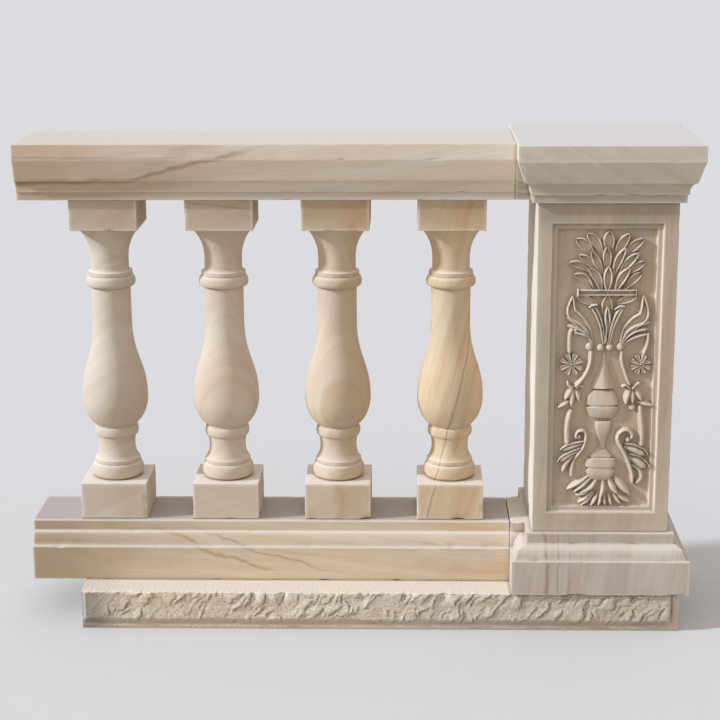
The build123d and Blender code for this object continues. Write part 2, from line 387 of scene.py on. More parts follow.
courseForm = {
    "cell": 2.6, "set": 180, "mean": 8.2, "reach": 11.7,
    "bottomMargin": (12, 30), "leftMargin": (-1, 9), "rightMargin": (13, 23),       # from dressed to broken
    "calm": 0.12, "calmSpan": (20, 110),    # the break is faint at the left end
    "creases": [(36, 3.0), (15, 1.9)],      # spacing and depth of the slanting breaks
    "lean": 0.6, "fall": 0.07,              # their slant, and the share of each that drops
    "warps": [(40, 18), (15, 8)],           # size of the bends in them, and how far they swing
    "lumps": [(46, 1.1), (19, 0.6), (9, 0.7), (5, 0.6)],
    "notchSize": 30, "notchDepth": 20, "notchShare": 0.14, "notchReach": 30,    # bites out of the upper edge
    "edgeWear": 1.2, "edgeReach": 6,
    "ledge": 21, "ledgeCuts": (3, 7, 13, 22), "ledgeSag": 1.6,      # worn strip of the dressed top
    "even": 0.08, "hollow": 0.5,            # behind its neighbours: no painted shade yet, and full painted shade
}


def smoothStep(value, low, high):
    share = min(1.0, max(0.0, (value - low) / (high - low)))
    return share * share * (3 - 2 * share)


def rockDepth(x, z, form, seed, ends, top):     # how far the broken face stands out of the dressed one
    left, right = ends
    place = Vector((x, z, seed * 40))
    warp = sum(swing * noise.noise(place / size) for size, swing in form["warps"])
    rough = 0.0
    for number, (spacing, drop) in enumerate(form["creases"]):
        along = (x - form["lean"] * z + warp) / spacing
        along += 0.5 * noise.noise(Vector((x / spacing / 3, seed, number)))
        step = along % 1.0
        rise = min(step / (1 - form["fall"]), (1 - step) / form["fall"])    # slow to the right, then sudden
        strength = 0.15 + 2.6 * noise.noise(Vector((math.floor(along) * 7.3, z / 30, seed)))
        rough += drop * rise * max(0.0, strength)       # each break has its own strength, and some have none
    for size, height in form["lumps"]:
        rough += height * noise.noise(place / size)
    calm = form["calm"] + (1 - form["calm"]) * smoothStep(left, *form["calmSpan"])
    depth = form["mean"] + rough * calm
    notch = max(0.0, noise.noise(Vector((x / form["notchSize"], seed, 3))) - form["notchShare"])
    depth -= calm * form["notchDepth"] * notch * smoothStep(z, top - form["notchReach"], top)
    worn = 0.7 + noise.noise(Vector((x / 12, seed, 8)))
    depth -= form["edgeWear"] * worn * smoothStep(z, top - form["edgeReach"], top)
    margin = smoothStep(z, *form["bottomMargin"])
    margin *= smoothStep(left, *form["leftMargin"]) * smoothStep(right, *form["rightMargin"])
    return min(form["reach"], depth) * margin


def markHollows(stone, form):       # what lies behind its neighbours gets painted shade, what stands out is drawn paler, rubbed and painted highlight
    arris = stone.verts.layers.float["arris"]
    hollowShade = stone.verts.layers.float.new("hollowShade")
    for vert in stone.verts:
        if abs(vert.co.y) < (form["set"] - 0.6) * mm:       # not on a broken face
            continue
        around = [abs(edge.other_vert(vert).co.y) for edge in vert.link_edges]
        behind = (sum(around) / len(around) - abs(vert.co.y)) / mm
        for mark, amount in ((hollowShade, behind), (arris, -behind)):
            vert[mark] = min(1.0, max(0.0, amount - form["even"]) / form["hollow"])


def buildCourse(form):
    low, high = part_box("base_course")
    face = form["set"] * mm
    stone = newBlock(Vector((low.x, -face, low.z)), Vector((high.x, face, high.z)))
    for axis in (0, 2):
        length = high[axis] - low[axis]
        bmesh.ops.subdivide_edges(stone, edges=fullEdges(stone, axis, length), use_grid_fill=True,
                                  cuts=round(length / (form["cell"] * mm)) - 1)
    for side in (-1, 1):
        for inset in form["ledgeCuts"]:
            cutAcross(stone, 1, side * (form["set"] - inset) * mm)
    top = high.z / mm
    for vert in stone.verts:
        x, y, z = (part / mm for part in vert.co)
        side = 1 if y > 0 else -1
        inset = form["set"] - abs(y)
        ends = (x - low.x / mm, high.x / mm - x)
        near = 1 - inset / form["ledge"]
        onLedge = z > top - 0.1 and near > 0
        if inset < 0.5:
            vert.co.y += side * rockDepth(x, z, form, side, ends, top) * mm
        elif onLedge:       # it follows its broken arris
            vert.co.y += side * near ** 1.5 * rockDepth(x, top, form, side, ends, top) * mm
        if onLedge:
            sag = 0.9 + noise.noise(Vector((x / 9, y / 9, 5))) + 0.5 * noise.noise(Vector((x / 34, side, 2)))
            vert.co.z -= max(0.0, sag) * near ** 2 * form["ledgeSag"] * mm
    markHollows(stone, form)
    return stone


# painted shade darkens the hollows and creases of the broken face, and a painted highlight lightens what
# stands out of it
courseStone = makeSandstone("rockFacedSandstone", dict(
    sandstone, base="#ebdac0", pale="#efe1cb", warm="#e0caa6", cloud="#ddd0c0", cloudSize=160,
    cloudStrength=0.6, dustAndTopLight=0.8, dustAndTopLightColour="#eee2d1", uneven=3.2, unevenSize=7, grainRelief=2.6, grainSize=4,
    grainTone=0.14, lineRelief=0.1, cornerShadeReach=12, cornerShade=0.8, hollowShade=0.9, cornerShadeColour="#75624f",
    arris=0.55, arrisColour="#f3e8d8",
    veinsAndPaintedLight=[veinAndPaintedLight((1, 0, 0), -622, 26, 130, 0.85, "#968d86"),
           veinAndPaintedLight((1, 0, 0), 620, 60, 620, 0.3, "#a2978a")]))
finishPiece(buildCourse(courseForm), "rockFacedCourse", courseStone, ["base_course"],
            crease=60)


# rails

footingSection = [      # bottom rail and pier base, upwards: (out from the fillet, height)
    ((24, 0),), ((24, 78),), ((12, 78),),
    ((0, 109), (0, 17), (6.6, 0)), ((0, 133),),
]
crownSection = [        # top rail and pier cap, upwards: (out from the fillet, height)
    ((0, 0),), ((0, 18),), ((4, 18),), ((4, 24),),
    ((14, 44), (0, 8), (-6, -4.5)), ((18, 44),), ((33, 92),), ((33, 126),),
]
sectionForm = {"arcSteps": 7, "strip": 3.5, "endStrip": 4, "longStretch": 12}       # strips for the pale wear and its painted highlight
railForm = {"spacing": 6, "ease": 1.3, "fold": 28}      # a fold sharper than this many degrees is eased
crispRailForm = dict(railForm, fold=16)
honedWear = dict(rubbedWear, hollow=0.2, hollowSize=110, chipShare=0.3, chipDepth=5.0, ragged=0.4)


def sectionLine(section, fillet, form):     # has a point beside each corner, to keep the pale wear and its painted highlight narrow
    line = [Vector((fillet + point.x, point.y)) for point in curvedLine(section, form["arcSteps"])]
    inward = Vector((form["endStrip"], 0))
    line = [line[0] - inward] + line + [line[-1] - inward]
    full = []
    for start, end in zip(line, line[1:]):
        full.append(start)
        length = (end - start).length
        if length > form["longStretch"]:
            strip = form["strip"] / length
            full += [start.lerp(end, strip), end.lerp(start, strip)]
    return full + [line[-1]]


footingLine = sectionLine(footingSection, 87, sectionForm)      # half the width of the fillet
crownLine = sectionLine(crownSection, 85, sectionForm)


def addRun(bm, outline, start, end, floor, form, wear, seed):   # a moulding with the same section all along
    run = newStone()
    front = [run.verts.new((start, -point.x * mm, floor + point.y * mm)) for point in outline]
    back = [run.verts.new((start, point.x * mm, floor + point.y * mm)) for point in reversed(outline)]
    face = run.faces.new(front + back)
    length = end - start
    bmesh.ops.translate(run, verts=extrudeFaces(run, [face]), vec=(length, 0, 0))
    bmesh.ops.recalc_face_normals(run, faces=run.faces)
    bmesh.ops.subdivide_edges(run, edges=fullEdges(run, 0, length), use_grid_fill=True,
                              cuts=max(1, round(length / (form["spacing"] * mm))))
    easeCorners(run, sharpEdges(run, form["fold"]), form["ease"])
    wearStone(run, wear, seed)
    pourInto(bm, run)


topStone = makeSandstone("honedTopRailSandstone", dict(
    sandstone, base="#ecdcc6", pale="#f0e6d3", warm="#e6d2b9", cloud="#e8d8bf", dustAndTopLight=0.9,
    dustAndTopLightColour="#ddd4c7", arris=0.35, bendSize=400, bendAmount=25, lineStrength=0.14, veinsAndPaintedLight=[
        veinAndPaintedLight((1, 0, 0), -730, 50, 480, 0.7, "#ccac88"),
        # painted shade: a dark band along the fillet under the rail's crown
        veinAndPaintedLight((0, 0, 1), 968, 2, 24, 0.25, "#8f8372"),
        veinAndPaintedLight((-0.22, 0, 1), 1064, 10, 42, 0.5, "#bfa183", [("X", -440, -240)]),
        veinAndPaintedLight((-0.25, 0.02, 1), 1090, 7, 9, 0.6, "#a37e55", [("X", -470, -560), ("X", -270, -200)]),
        veinAndPaintedLight((-0.03, 0.02, 1), 1013, 4, 10, 0.7, "#94704a", [("X", -560, -440)]),
        veinAndPaintedLight((0, 0, 1), 1051, 3, 6, 0.4, "#a98b66", [("X", -420, -300)]),
        veinAndPaintedLight((-0.32, 0, 1), 1128, 14, 22, 0.25, "#bda385", [("X", -360, -160)]),
        veinAndPaintedLight((0.2, 0, 1), 985, 14, 22, 0.25, "#c3aa8d", [("X", -280, -120)]),
    ]))
bottomStone = makeSandstone("honedBottomRailSandstone", dict(
    sandstone, base="#dfcbaf", pale="#e4d4bb", warm="#d9bb94", cloud="#cfbfaa", cloudSize=170,
    cloudStrength=0.6, bedTilt=(6, -5, 0), dustAndTopLight=0.6,
    # painted shade: the middle of the rail's top, where the balusters' shadows lie, is drawn grey
    railTopShade={"level": 223, "reach": 78, "cloudy": 14, "amount": 0.8, "colour": "#b0a8a6"}, veinsAndPaintedLight=[
        veinAndPaintedLight((1, 0, 0), -730, 50, 460, 0.85, "#b1997b"),
        veinAndPaintedLight((0.35, 0, 1), 42, 9, 7, 0.6, "#b98c5c", [("X", -420, -480), ("X", -230, -170)]),
        veinAndPaintedLight((0.3, 0, 1), 90, 9, 5, 0.5, "#b48354", [("X", -330, -390), ("X", -120, -60)]),
        veinAndPaintedLight((0.04, 0, 1), 128, 12, 26, 0.5, "#cb9e6c", [("X", 230, 60)]),
        veinAndPaintedLight((0.02, 0, 1), 172, 10, 9, 0.35, "#bf9469", [("X", 150, 20)]),
    ]))

low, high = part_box("top_rail")
bm = newStone()
addRun(bm, crownLine, low.x, high.x, low.z, crispRailForm, honedWear, seed=1)
finishPiece(bm, "topRailStone", topStone, ["top_rail"])

low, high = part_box("bottom_rail")
bm = newStone()
addRun(bm, footingLine, low.x, high.x, low.z, railForm, honedWear, seed=2)
finishPiece(bm, "bottomRailStone", bottomStone, ["bottom_rail"])


# balusters

balusterForm = {
    "turnSteps": 96, "curveSteps": 14, "ease": 2.0, "cell": 7.5,
    "block": 150, "lowerBlock": 84, "upperBlock": 70, "lap": 2,     # the turned part runs this far into both
    "turning": [        # profile, each place as (radius, height over the lower block)
        ((49.5, 0),), ((49.5, 35), (12.5, 0), (11.5, 0)),
        ((52, 35),), ((52, 43),),
        ((44.5, 97), (-9, 9), (-6.5, -26)), ((45.5, 97),), ((45.5, 120), (6.5, 0), (6.5, 0)),
        ((46, 120),), ((46, 123),), ((74.5, 186), (11, 6), (0, -33)),
        ((44, 362), (0, 80), (0, -86)), ((44, 443),), ((47, 443),),
        ((47, 469), (13.5, -1), (9.5, 0)), ((49.5, 469),), ((49.5, 478),),
        ((42, 486), (-4.2, 0), (0, -4.2)), ((42, 506),), ((72, 578), (0, 34), (-16, -16)),
    ],
}


def buildBaluster(node, form, wear, seed):
    low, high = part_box(node)
    axis = (low.x + high.x) / 2
    half = form["block"] / 2 * mm
    floor = low.z + form["lowerBlock"] * mm
    ceiling = high.z - form["upperBlock"] * mm
    outline = curvedLine(form["turning"], form["curveSteps"])
    foot, head = outline[0].y - form["lap"], outline[-1].y + form["lap"]
    outline = [Vector((0, foot)), Vector((outline[0].x, foot)), *outline,
               Vector((outline[-1].x, head)), Vector((0, head))]
    bm = newStone()
    turned = newStone()
    spinLine(turned, [(axis + point.x * mm, 0, floor + point.y * mm) for point in outline], axis,
             form["turnSteps"])
    bmesh.ops.recalc_face_normals(turned, faces=turned.faces)
    wearStone(turned, dict(wear, hollowSize=55), seed)      # closer hollows than on the flat
    pourInto(bm, turned)
    for bottom, top, more in ((low.z, floor, 10), (ceiling, high.z, 20)):
        corners = Vector((axis - half, -half, bottom)), Vector((axis + half, half, top))
        block = newBlock(*corners)
        for way, (start, end) in enumerate(zip(*corners)):
            gridCuts(block, way, start, end, form["cell"])
        easeCorners(block, sharpEdges(block), form["ease"])
        wearStone(block, wear, seed + more)
        pourInto(bm, block)
    return bm


# the pale dust colour on the balusters also draws the block tops paler, as painted highlight
turnedSandstone = dict(sandstone, dustAndTopLight=0.85, dustAndTopLightColour="#f0e6d6", cornerShadeReach=8)
# in each look the level sheet at 930 is painted shade of the rail over the upper block, and a sheet across
# (1, -0.5, 0) is painted shade down the baluster's right side
balusterLooks = [       # from the left end
    dict(base="#d9cab5", pale="#dfd2bf", warm="#d3bfa6", bedTilt=(35, 24, 0), lineStrength=0.1, veinsAndPaintedLight=[
        veinAndPaintedLight((0, 0, 1), 930, 3, 60, 0.3, "#a98b60"),
        veinAndPaintedLight((1, -0.5, 0), -424, 4, 60, 0.22, "#b0916c"),
    ]),
    dict(base="#dbcab2", pale="#e1d1bb", warm="#d4bda1", bedTilt=(62, 10, 0), lineStrength=0.1,
         speckStrength=0.8, veinsAndPaintedLight=[
        veinAndPaintedLight((0, 0, 1), 930, 3, 60, 0.35, "#9c7f58"),
        veinAndPaintedLight((0.12, 0, 1), 898, 3, 3, 0.5, "#a5865f"),
    ]),
    dict(base="#dbc8ac", pale="#e2d1b8", warm="#d1b38c", bedTilt=(78, 12, 0), veinsAndPaintedLight=[
        veinAndPaintedLight((0, 0, 1), 930, 3, 60, 0.5, "#a97f4c"),
        veinAndPaintedLight((1, -0.5, 0), 30, 4, 60, 0.34, "#b98f62"),
        veinAndPaintedLight((0.2, 1, 0.05), -66, 5, 3.5, 0.5, "#c29d74"),
    ]),
    dict(base="#dfc7a2", pale="#e7d3b3", warm="#d3ac7d", bedTilt=(20, 75, 0), veinsAndPaintedLight=[
        veinAndPaintedLight((0, 0, 1), 930, 3, 60, 0.4, "#957550"),
        veinAndPaintedLight((1, -0.5, 0), 257, 4, 60, 0.24, "#b98c5c"),
        veinAndPaintedLight((1, 0.1, -0.24), 95, 4, 3, 0.5, "#83603f", [("Z", 690, 790)], opened=True),
    ]),
]
for number, look in enumerate(balusterLooks, start=1):
    node = f"baluster_{number}"
    stone = makeSandstone(f"turnedSandstone{number}", dict(turnedSandstone, **look))
    baluster = buildBaluster(node, balusterForm, rubbedWear, seed=number + 2)
    finishPiece(baluster, f"turnedBaluster{number}", stone, [node])


# pier base and cap

pierForm = {"spacing": 8, "ease": 1.4, "fold": 28, "stub": 46, "plinthFillet": 162, "capFillet": 163}
capForm = dict(pierForm, fold=16)
plinthSection = [       # upwards: (out from the fillet, height)
    ((34, 0),), ((34, 78),), ((26, 78),), ((0, 109), (0, 17), (14.3, 0)), ((0, 133),),
]


def addMitred(bm, outline, centre, floor, form, wear, seed):    # a moulding carried round the square
    ring = newStone()
    points = [(centre + point.x * mm, point.x * mm, floor + point.y * mm) for point in outline]
    spinLine(ring, points, centre, 4)
    bmesh.ops.holes_fill(ring, edges=ring.edges, sides=4)
    bmesh.ops.recalc_face_normals(ring, faces=ring.faces)
    corner = max(abs(point.x) for point in outline) * mm
    gridCuts(ring, 0, centre - corner, centre + corner, form["spacing"])
    gridCuts(ring, 1, -corner, corner, form["spacing"])
    easeCorners(ring, sharpEdges(ring, form["fold"]), form["ease"])
    wearStone(ring, wear, seed)
    pourInto(bm, ring)


pierStone = dict(
    sandstone, base="#cab89f", pale="#d2c2ab", warm="#c1a98a", cloud="#b8ac9a", cloudStrength=0.5)
capStone = makeSandstone("rubbedCapSandstone", dict(
    pierStone, base="#d8cdb9", pale="#ded5c4", warm="#cfbda3", cloud="#d2beae", dustAndTopLight=0.85,
    dustAndTopLightColour="#dad6d2", bedTilt=(10, -28, 0), lineStrength=0.1, veinsAndPaintedLight=[
        # painted shade: a dark band on the fillet and cavetto under the cap's overhang
        veinAndPaintedLight((0, 0, 1), 968, 2, 40, 0.4, "#8c8070"),
    ]))
plinthStone = makeSandstone("rubbedPlinthSandstone", dict(
    pierStone, base="#d0c2b1", pale="#d8cdbd", warm="#c6b09b", cloud="#bfb2a5", bedTilt=(5, 82, 0), veinsAndPaintedLight=[
        # painted shade: a dark band on the fillet at the top of the plinth
        veinAndPaintedLight((0, 0, 1), 213, 2, 20, 0.2, "#8f7658"),
        veinAndPaintedLight((1, 0.05, 0.06), 421, 8, 6, 0.6, "#98785e"),
        veinAndPaintedLight((1, 0.05, 0.02), 441, 9, 4, 0.5, "#a07f66"),
        veinAndPaintedLight((1, 0.02, -0.03), 466, 7, 5, 0.35, "#a68672"),
    ]))

low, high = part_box("pier_base")
pierX = (low.x + high.x) / 2
bm = newStone()
addMitred(bm, sectionLine(plinthSection, pierForm["plinthFillet"], sectionForm), pierX, low.z, pierForm,
          dict(rubbedWear, hollow=0.35, chipDepth=6.0), seed=31)
addRun(bm, footingLine, low.x, low.x + pierForm["stub"] * mm, low.z, pierForm, rubbedWear, seed=32)
finishPiece(bm, "pierPlinthStone", plinthStone, ["pier_base"])

low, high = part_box("pier_cap")
capFloor = high.z - crownLine[-1].y * mm
bm = newStone()
addMitred(bm, sectionLine(crownSection, pierForm["capFillet"], sectionForm), pierX, capFloor, capForm,
          honedWear, seed=33)
addRun(bm, crownLine, low.x, low.x + pierForm["stub"] * mm, low.z, capForm, honedWear, seed=34)
finishPiece(bm, "pierCapStone", capStone, ["pier_cap"])


# pier shaft with its sunk panels

shaftForm = {
    "cells": (13, 26, 13), "ease": 1.2, "sideMargin": 32, "endMargin": 46,
    "sinks": [(0, 7), (12, 8)],     # how far in from the last edge, and how deep
}


def panelFaces(stone, middle, side):        # the one in the middle of the front or the back
    away = [(face, face.calc_center_median() - middle) for face in stone.faces]
    return [face for face, off in away if max(abs(off.x), abs(off.z)) < 5 * mm and off.y * side > 0]


def buildShaft(form, wear, seed):
    low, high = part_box("pier_shaft")
    stone = newBlock(low, high)
    for axis, margin in ((0, form["sideMargin"] * mm), (2, form["endMargin"] * mm)):
        cutAcross(stone, axis, low[axis] + margin)
        cutAcross(stone, axis, high[axis] - margin)
    middle = (low + high) / 2
    for side in (-1, 1):
        for inset, sink in form["sinks"]:
            if inset:
                bmesh.ops.inset_region(stone, faces=panelFaces(stone, middle, side), thickness=inset * mm,
                                       use_even_offset=True)
            panel = panelFaces(stone, middle, side)
            sunk = extrudeFaces(stone, panel)
            bmesh.ops.delete(stone, geom=panel, context="FACES")
            bmesh.ops.translate(stone, verts=sunk, vec=(0, -side * sink * mm, 0))
    bmesh.ops.recalc_face_normals(stone, faces=stone.faces)
    for axis, cell in enumerate(form["cells"]):
        gridCuts(stone, axis, low[axis], high[axis], cell)
    easeCorners(stone, sharpEdges(stone), form["ease"])
    wearStone(stone, wear, seed)
    return stone


# the first sheet is the painted shadow of the cap on the shaft's top margin; the second is a painted
# highlight on the sunlit left face
shaftVeinsAndPaintedLight = [veinAndPaintedLight((0, 0, 1), 934, 3, 45, 0.34, "#8d7a63"), veinAndPaintedLight((1, 0, 0), 389, 1, 5, 0.8, "#f1ebdd")]
for step in (0, 12):        # both steps of the panel get a painted highlight down the right side, which faces the light
    shaftVeinsAndPaintedLight.append(veinAndPaintedLight((1, 0, 0), 658 - step, 0.5, 4, 0.85, "#fbe9d2", [
        ("Z", 908 - step, 918 - step), ("Z", 275 + step, 265 + step)]))
for step in (0, 12):        # and a painted highlight along the foot, which faces up
    shaftVeinsAndPaintedLight.append(veinAndPaintedLight((0, 0, 1), 269 + step, 0.5, 4, 0.6, "#f6e8d4", [
        ("X", 652 - step, 662 - step), ("X", 428 + step, 418 + step)]))
shaftStone = makeSandstone("rubbedShaftSandstone", dict(
    pierStone, bedTilt=(5, 84, 0), arris=0.2, veinsAndPaintedLight=shaftVeinsAndPaintedLight))
finishPiece(buildShaft(shaftForm, dict(rubbedWear, chipDepth=3.0), seed=40), "pierShaftStone", shaftStone,
            ["pier_shaft"])


# carving on the panels

# Places lie across and up from the panel's middle. A leaf is half its width, then its line, root first.
carvedGroups = [        # which cut, how far it stands out, and its leaves
    ("leaf", 13, [          # top of the fan, the tallest leaves at the back
        (12.5, (-26, 248), (-45, 273), (-68, 289)), (11.5, (36, 246), (53, 271), (78, 289)),
        (12, (-8, 252), (-25, 282), (-44, 301)), (11.5, (20, 246), (29, 275), (47, 301)),
        (13, (6, 250), (3, 280), (3, 306))]),
    ("leaf", 12.8, [        # its middle tier
        (9.5, (-34, 214), (-55, 231), (-82, 237)), (9.5, (40, 205), (60, 226), (83, 241)),
        (10.5, (-20, 212), (-36, 238), (-60, 254)), (10.5, (26, 206), (44, 236), (67, 258)),
        (9.5, (-7, 206), (-19, 234), (-35, 263)), (9.5, (15, 207), (23, 239), (39, 270)),
        (10.5, (-2, 206), (0, 243), (-1, 273))]),
    ("frond", 12.6, [       # its low tier, which springs from the bar
        (10, (-26, 174), (-45, 202), (-71, 211)), (10, (36, 174), (55, 199), (77, 217)),
        (10.5, (-9, 170), (-19, 203), (-39, 226)), (10.5, (19, 170), (31, 201), (49, 226)),
        (10.5, (3, 170), (3, 200), (4, 229))]),
    ("band", 12.5, [(7.5, (-61, 171.5), (2, 171.5), (65, 171.5))]),     # bar that the fan stands on
    ("stem", 12.5, [(2, (-60, 163), (-60, 180)), (2, (64, 163), (64, 180))]),
    ("leaf", 12, [          # leaves and bud under the bar
        (10.5, (-12, 141), (-38, 154), (-65, 165)), (10, (19, 144), (42, 156), (69, 166))]),
    ("leaf", 12.5, [(13, (3, 108), (3, 138), (3, 167))]),
    ("stem", 8.5, [(2.4, (2, 60), (4, 100), (8, 138))]),
    ("blade", 12.5, [       # calyx that opens to a lip on each side
        (6.5, (-1, 57), (-7, 95), (-18, 125), (-30, 143)),
        (6.5, (8, 57), (16, 95), (24, 120), (37, 141))]),
    ("stem", 13, [(3.6, (-37, 139), (-28, 144), (-17, 145)), (3.6, (18, 134), (28, 141), (43, 142))]),
    ("leaf", 13, [(7, (5, 78), (5, 110), (3, 142))]),
    ("lobe", 12, [          # ribs of the two half leaves, the lowest first
        (6, (-24, 56), (-34, 72), (-50, 80), (-70, 84)), (6, (38, 52), (52, 66), (70, 75), (93, 80)),
        (7, (-26, 57), (-38, 78), (-58, 92), (-83, 99)), (6.5, (37, 54), (48, 72), (66, 86), (94, 92)),
        (7.5, (-27, 58), (-38, 84), (-58, 104), (-84, 118)),
        (7.5, (36, 55), (46, 82), (66, 98), (98, 107))]),
    ("leaf", 13, [
        (13.5, (-25, 52), (-36, 85), (-55, 108), (-73, 130), (-71, 164)),
        (13.5, (34, 50), (44, 85), (62, 104), (83, 124), (80, 167))]),
    ("stem", 11.5, [        # stems that hang from the half leaves, and those that cross to the flowers
        (7, (-70, 94), (-75, 80), (-76, 60), (-75, 36)), (5.6, (93, 84), (93, 66), (89, 48), (84, 34)),
        (5.4, (-29, 44), (-30, 20), (-37, -4), (-51, -26), (-62, -38)),
        (5.2, (37, 44), (38, 22), (44, 0), (51, -20), (58, -36)),
        (7.5, (-69, -88), (-75, -115), (-77, -140), (-75, -170)),
        (8.5, (81, -78), (84, -110), (87, -140), (87, -174))]),
    ("tongue", 12.5, [      # husks under the flowers
        (8.5, (-64, -36), (-73, -50), (-83, -66)), (8, (-63, -38), (-56, -54), (-52, -72)),
        (8, (-64, -38), (-67, -58), (-69, -80)), (7, (-66, -66), (-82, -76), (-98, -84)),
        (8.5, (62, -38), (53, -57), (49, -76)), (8.5, (66, -40), (76, -54), (83, -69)),
        (8.5, (64, -40), (64, -58), (64, -76)), (7, (68, -71), (88, -76), (109, -79))]),
    ("stem", 12, [          # tendrils
        (3.4, (-60, -42), (-52, -36), (-41, -40)), (3.2, (-66, -42), (-76, -34), (-78, -24)),
        (3.6, (58, -42), (48, -34), (39, -39)), (3.6, (62, -44), (69, -34), (79, -27))]),
    ("pad", 12, [           # scrolled leaves at both sides of the foot
        (7, (-57, -198), (-64, -221), (-65, -245)), (7.5, (-54, -193), (-75, -210), (-86, -234)),
        (10.5, (-44, -181), (-70, -193), (-92, -209)), (9.5, (-37, -168), (-60, -173), (-88, -183)),
        (8.5, (67, -218), (84, -227), (88, -245), (76, -260)),
        (12.5, (57, -199), (79, -207), (99, -223)), (12.5, (49, -175), (71, -181), (96, -194))]),
    ("stem", 13, [          # their raised upper rims
        (2.8, (-37, -161), (-60, -165), (-80, -172), (-92, -182)),
        (2.8, (-45, -176), (-70, -186), (-90, -199), (-97, -210)),
        (3, (50, -166), (72, -170), (94, -181), (103, -194)),
        (3, (60, -190), (82, -196), (100, -209), (107, -223))]),
    ("stem", 13.2, [
        (5.5, (-55, -156), (-57, -149), (-54, -141), (-46, -137), (-38, -140), (-35, -151), (-37, -163),
          (-41, -176), (-50, -189), (-59, -203)),
        (6.5, (62, -156), (66, -147), (58, -137), (47, -136), (36, -145), (35, -159), (43, -176), (53, -194),
          (61, -214), (68, -236), (70, -261))]),
    ("tongue", 12.5, [      # leaves that spill from the foot, the lower row first
        (6, (-20, -272), (-36, -281), (-54, -285)), (7.5, (31, -276), (48, -292), (67, -301)),
        (6.5, (-15, -275), (-32, -292), (-49, -302)), (7, (25, -274), (35, -292), (46, -307)),
        (6, (-11, -278), (-28, -297), (-43, -308)), (6, (16, -278), (21, -295), (25, -310)),
        (6.5, (-2, -276), (-12, -295), (-21, -309)), (5.5, (7, -280), (9, -297), (11, -310)),
        (5.5, (3, -278), (0, -295), (-4, -309))]),
    ("tongue", 13.2, [
        (7, (-20, -238), (-48, -257), (-74, -271)), (11.5, (27, -238), (45, -262), (65, -283)),
        (7, (-15, -240), (-38, -262), (-59, -277)), (9.5, (14, -240), (25, -264), (38, -284)),
        (7.5, (-5, -242), (-20, -266), (-47, -281)), (8, (5, -242), (5, -270), (-2, -297))]),
]
carvingForm = {
    "ground": 135, "middle": 591.5, "sink": 1.5, "cell": 2.6, "across": 18, "vaseSteps": 56,
    "beadRise": 11.5, "vaseRise": 11.5, "heartRise": 12, "petalRise": 12.8, "petals": 8, "petalShare": 0.33,
    "groups": carvedGroups,
    "beads": [          # place, half width and half height
        (-33, 51, 9, 10), (-9, 49, 9.5, 9.5), (11, 50, 9, 9.5), (34, 51, 8.5, 10), (-64, 89, 7, 7),
        (-50, -152, 6, 7), (57, -158, 7, 8), (64, -84, 8, 9)],
    "flowers": [(-71, 13, 25), (79, 13, 22)],       # place and radius
    "vase": [           # turned parts: axis, how round, how far a thin end is lifted, [(half width, height)]
        (0, 1.3, 0.5, [(2.5, 40), (4, 27), (6.5, 15), (12, -2), (22, -28), (26, -38), (26.5, -42)]),
        (-1, 0.6, 0, [(21, -46), (22.5, -47), (27, -52), (33, -61), (35.5, -73), (35, -79), (30, -80),
                      (30, -82), (36, -84), (34.5, -92), (28.5, -104), (22, -109)]),
        (2, 0.6, 0, [(16, -116), (18.5, -118), (18.5, -128), (15, -142), (10.5, -155), (7.5, -168),
                     (7, -179)]),
        (-1, 0.6, 0, [(7.5, -176), (15, -184), (23, -193), (27, -197), (24, -198), (24, -200), (33, -202),
                      (34.5, -212), (33, -221), (28, -222), (28, -226), (33, -230), (30, -240), (24, -248),
                      (16, -252)]),
    ],
}


def smoothLine(points, steps):      # a smooth line through a few points
    points = [Vector(point) for point in points]
    ends = [points[0]] + points + [points[-1]]
    line = []
    for before, start, end, after in zip(ends, ends[1:], ends[2:], ends[3:]):
        pulls = start + (end - before) / 6, end - (after - start) / 6
        line += interpolate_bezier(start, *pulls, end, steps + 1)[:-1]
    return line + [points[-1]]


def roundTip(share, length):        # closes an outline over the last share of its length
    return min(1.0, ((1 - share) / length) ** 0.5)


def leafWidth(share):       # narrow at the root, broad past the middle, pointed at the tip
    return math.sin(math.pi * share ** 1.2) ** 0.8 if 0 < share < 1 else 0.0


def bladeWidth(share):      # broad from the root on, round end
    return (0.6 + 0.4 * smoothStep(share, 0.0, 0.6)) * roundTip(share, 0.18)


def petalWidth(share):      # widens all the way to a round end
    return (0.25 + 0.75 * share) * roundTip(share, 0.25)


def stemWidth(share):       # round at both ends
    return min(roundTip(share, 0.06), roundTip(1 - share, 0.06))


def lobeWidth(share):       # narrow root, round end
    return (0.45 + 0.55 * smoothStep(share, 0.1, 0.7)) * roundTip(share, 0.12)


def hollowSection(off, rim):    # sunk middle inside a round raised rim, which is this share of the half width
    sunk = 0.34
    inward = (1 - abs(off)) / rim
    if inward > 1:      # with a faint rib down the middle
        return sunk + 0.08 * max(0.0, 1 - abs(off) / 0.2)
    return sunk * inward + (1 - sunk) * math.sqrt(max(0.0, 1 - (2 * inward - 1) ** 2)) + 0.15 * (1 - inward)


def cupSection(off, rim):       # a shallow cup with a thick edge
    return (0.62 + 0.48 * off * off) * (1 - 0.85 * abs(off) ** 8)


def ridgeSection(off, rim):     # two slopes that meet in a soft ridge
    return 0.1 + 0.9 * (1 - abs(off) ** 1.7)


def leafClimb(share):       # leaves lie low at the root and stand out towards the tip
    return (0.42 + 0.58 * smoothStep(share, 0.08, 0.6)) * (1 - 0.15 * smoothStep(share, 0.9, 1.0))


def lobeClimb(share):
    return 0.6 + 0.4 * smoothStep(share, 0.0, 0.6) - 0.3 * smoothStep(share, 0.8, 1.0)


def stemClimb(share):
    return 1 - 0.2 * smoothStep(abs(share - 0.5), 0.4, 0.5)


